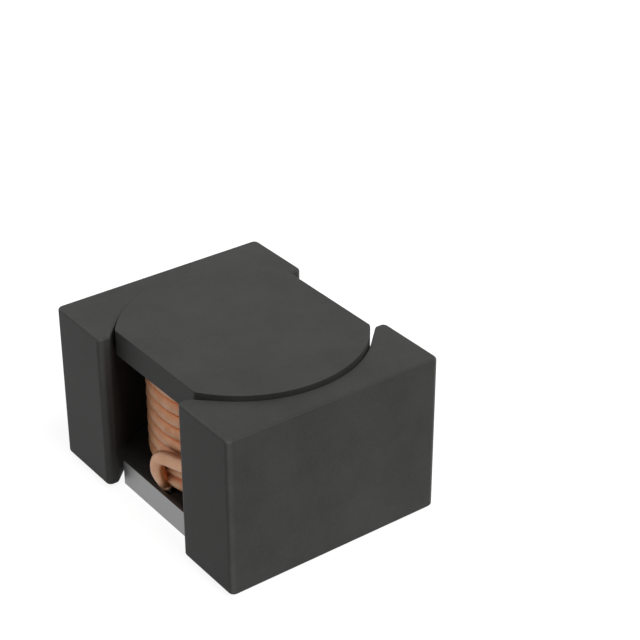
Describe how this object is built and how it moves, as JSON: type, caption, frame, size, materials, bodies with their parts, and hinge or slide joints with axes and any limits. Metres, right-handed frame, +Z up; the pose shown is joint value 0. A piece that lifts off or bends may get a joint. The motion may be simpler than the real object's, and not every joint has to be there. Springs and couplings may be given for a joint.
{
  "type": "shielded smd inductor",
  "caption": "Shielded surface-mount power inductor: a wire-wound ferrite drum between two C-shaped ferrite shields, on two folded terminals.",
  "frame": {"origin": "middle of the footprint, on the plane of the solder pads' undersides", "axes": "+X from the left terminal to the right one, +Y from the front shield to the rear one (the longest extent), +Z up along the coil's axis (the shortest extent)"},
  "size_m": [0.004, 0.005, 0.003],
  "materials": {
    "ferrite": "matte",
    "enamelled_copper": "satin",
    "tin_plate": "satin",
    "solder": "satin",
    "adhesive": "satin"
  },
  "bodies": {
    "root": {"drum_core": "ferrite", "winding": "enamelled_copper", "terminal_left": "tin_plate", "terminal_right": "tin_plate", "shield_front": "ferrite", "shield_rear": "ferrite", "solder_left": "solder", "solder_right": "solder", "glue_front_upper": "adhesive", "glue_front_lower": "adhesive", "glue_rear_upper": "adhesive", "glue_rear_lower": "adhesive"}
  },
  "joints": []
}
